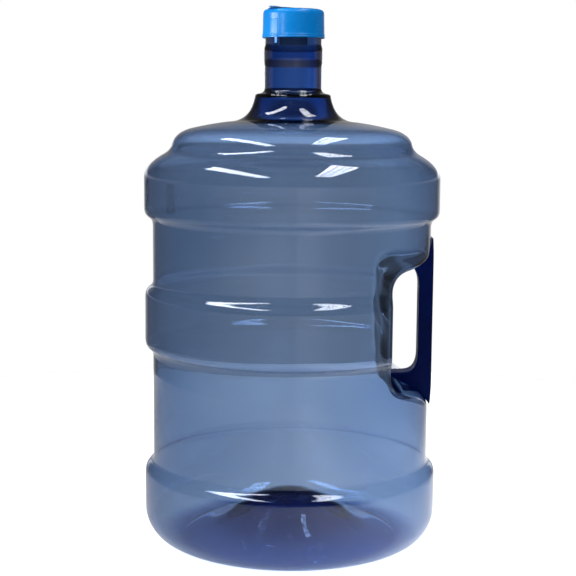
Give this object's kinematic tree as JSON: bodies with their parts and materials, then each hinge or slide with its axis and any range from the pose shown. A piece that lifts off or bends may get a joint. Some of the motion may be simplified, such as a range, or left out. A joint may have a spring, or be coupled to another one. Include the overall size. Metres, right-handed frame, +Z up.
{
  "type": "large water jug",
  "caption": "Large returnable water jug: banded blown bottle with a moulded side grip, narrow neck and a push-on cap with probe well, plug, tear strip and peel label.",
  "frame": {"origin": "on the floor at the centre of the base, on the bottle's axis", "axes": "+Z up along the bottle's axis; +X towards the grip; -Y is the side seen from the front"},
  "size_m": [0.2719, 0.272, 0.4911],
  "materials": {
    "bottle": "clear blue-tinted blown plastic, polished",
    "grip": "solid navy moulded plastic, satin gloss",
    "cap": "light blue soft plastic, satin gloss",
    "liner": "foamed white liner",
    "plug": "pale soft plastic",
    "label": "thin pale film"
  },
  "bodies": {
    "jug": {"jug_body": "bottle", "handle": "grip"},
    "cap": {"cap_shell": "cap", "cap_seal_ring": "liner"},
    "plug": {"cap_plug": "plug"},
    "label": {"cap_label": "label"},
    "tear_strip": {"cap_tear_strip": "cap"}
  },
  "joints": [
    {"name": "cap_lift", "type": "slide", "parent": "jug", "child": "cap", "axis": [0, 0, 1], "range_m": [0, 0.1]},
    {"name": "plug_push", "type": "slide", "parent": "cap", "child": "plug", "axis": [0, 0, 1], "range_m": [-0.04, 0]},
    {"name": "label_peel", "type": "hinge", "parent": "cap", "child": "label", "pos_m": [0.01669, 0.01669, 0.48895], "axis": [-0.7071, 0.7071, 0], "range_deg": [0, 120]},
    {"name": "tear_pull", "type": "hinge", "parent": "cap", "child": "tear_strip", "pos_m": [-0.01794, -0.02138, 0.4792], "axis": [-0.766, 0.6428, 0], "range_deg": [0, 150]}
  ]
}
